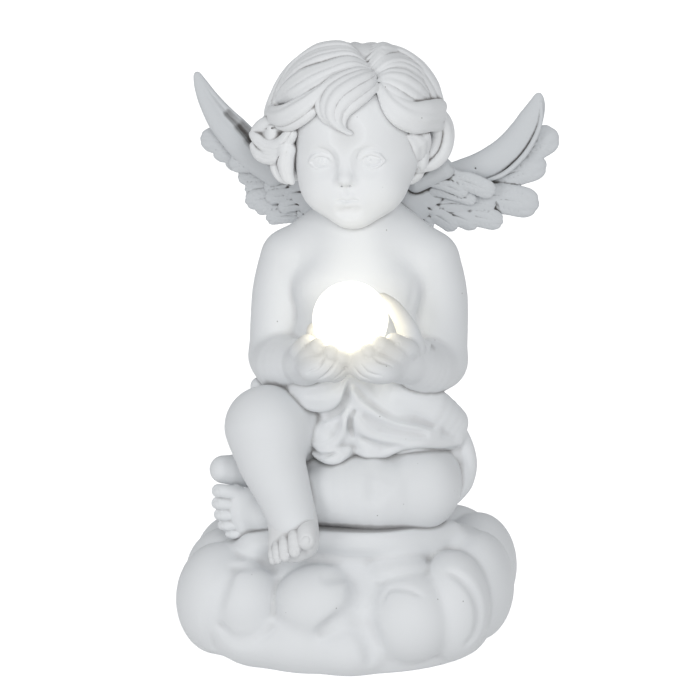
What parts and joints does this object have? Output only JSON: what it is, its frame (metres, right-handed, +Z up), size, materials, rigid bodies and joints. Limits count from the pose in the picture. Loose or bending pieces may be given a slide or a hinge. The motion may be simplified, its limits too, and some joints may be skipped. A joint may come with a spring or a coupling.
{
  "type": "cherub figurine with lit globe",
  "caption": "Winged child seated on a cloud mound, cast in one piece, holding a round lit globe in cupped hands.",
  "frame": {"origin": "middle of the casting's overall box, on the plane that the cloud stands on", "axes": "+Z up from the underside to the crown, -Y out of the figure's front, +X to the viewer's right"},
  "size_m": [0.1525, 0.1276, 0.2494],
  "materials": {
    "cast_white": "matt white cast resin, faint grey wash in the hollows",
    "frosted_globe": "frosted milky ball, lit evenly from inside"
  },
  "bodies": {
    "root": {"cherub_on_cloud": "cast_white", "light_globe": "frosted_globe"}
  },
  "joints": []
}
